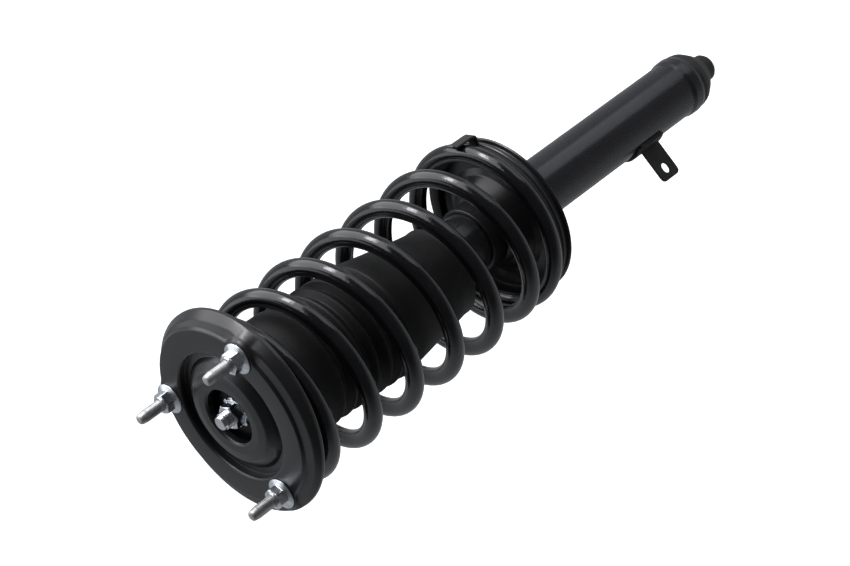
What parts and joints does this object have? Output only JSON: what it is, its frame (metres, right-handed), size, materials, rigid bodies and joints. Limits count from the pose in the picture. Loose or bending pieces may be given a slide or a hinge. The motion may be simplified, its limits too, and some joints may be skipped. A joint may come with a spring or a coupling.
{
  "type": "strut assembly",
  "caption": "Coil-over suspension strut: studded top mount with isolated rod, coil spring, pleated dust boot, telescopic damper, spring seat, hose bracket and end nub.",
  "frame": {"origin": "centre of the stud circle on the upper face of the mount plate", "axes": "+Z along the strut's own axis, out through the mount studs; +Y towards the first stud"},
  "size_m": [0.1718, 0.1736, 0.6295],
  "materials": {
    "black_paint": "satin",
    "spring_paint": "gloss",
    "tube_paint": "satin",
    "cap_paint": "matte",
    "bracket_paint": "matte",
    "rubber": "matte",
    "boot_rubber": "matte",
    "bump_foam": "matte",
    "stud_zinc": "satin",
    "nut_zinc": "bright",
    "plain_steel": "satin",
    "rod_chrome": "polished",
    "band_plastic": "matte"
  },
  "bodies": {
    "top_mount": {"mount_plate": "black_paint", "mount_cup": "black_paint", "mount_cushion": "rubber", "mount_base": "black_paint", "mount_bushing": "rubber", "mount_studs": "stud_zinc", "stud_nuts": "nut_zinc", "rod_sleeve": "plain_steel", "rod_nut": "nut_zinc", "rod_washer": "nut_zinc", "stop_washer": "plain_steel", "piston_rod": "rod_chrome", "piston": "plain_steel", "piston_band": "band_plastic", "piston_nut": "plain_steel", "rebound_stop": "plain_steel", "bump_stop": "bump_foam"},
    "spring_top": {"upper_pad": "rubber", "coil_spring": "spring_paint", "dust_boot": "boot_rubber"},
    "strut_body": {"strut_tube": "tube_paint", "tube_cap": "plain_steel", "rod_seal": "rubber", "rod_guide": "plain_steel", "inner_cylinder": "plain_steel", "base_valve": "plain_steel", "end_cap": "cap_paint", "spring_seat": "black_paint", "lower_pad": "rubber", "hose_bracket": "bracket_paint"}
  },
  "joints": [
    {"name": "tube_turn", "type": "hinge", "parent": "top_mount", "child": "spring_top", "pos_m": [0, 0, 0], "axis": [0, 0, 1], "continuous": true},
    {"name": "stroke", "type": "slide", "parent": "spring_top", "child": "strut_body", "axis": [0, 0, 1], "range_m": [0, 0.12], "stiffness_N_per_m": 28000, "springref_m": -0.03, "deforming": ["coil_spring", "dust_boot"]}
  ]
}
